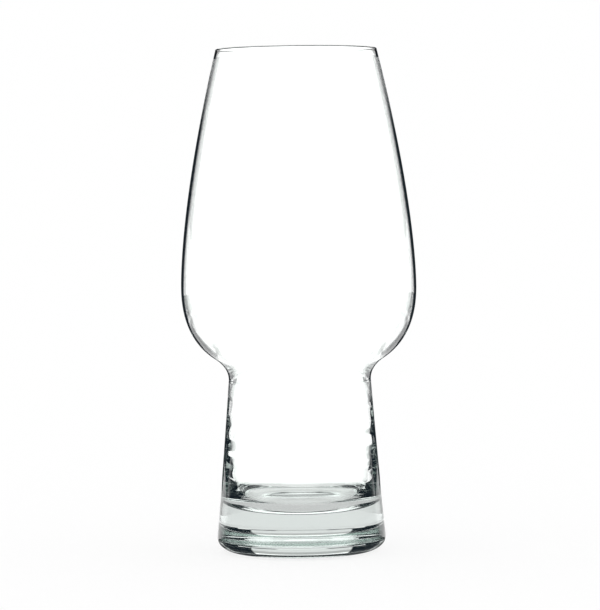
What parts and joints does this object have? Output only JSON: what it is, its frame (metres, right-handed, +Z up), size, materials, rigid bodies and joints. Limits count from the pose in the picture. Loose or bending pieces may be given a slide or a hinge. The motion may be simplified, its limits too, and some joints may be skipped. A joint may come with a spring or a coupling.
{
  "type": "stout glass",
  "caption": "Clear drinking glass for stout: a tall thin tulip bowl on a narrower hollow base with a heavy solid foot.",
  "frame": {"origin": "on the axis, in the plane the glass stands on", "axes": "+Z up along the axis, from the foot to the mouth; the glass is the same all round, so X and Y are free"},
  "size_m": [0.0874, 0.0874, 0.187],
  "materials": {
    "clear_glass": "fire-polished, colourless with a faint grey-green edge"
  },
  "bodies": {
    "root": {"bowl": "clear_glass", "base": "clear_glass"}
  },
  "joints": []
}
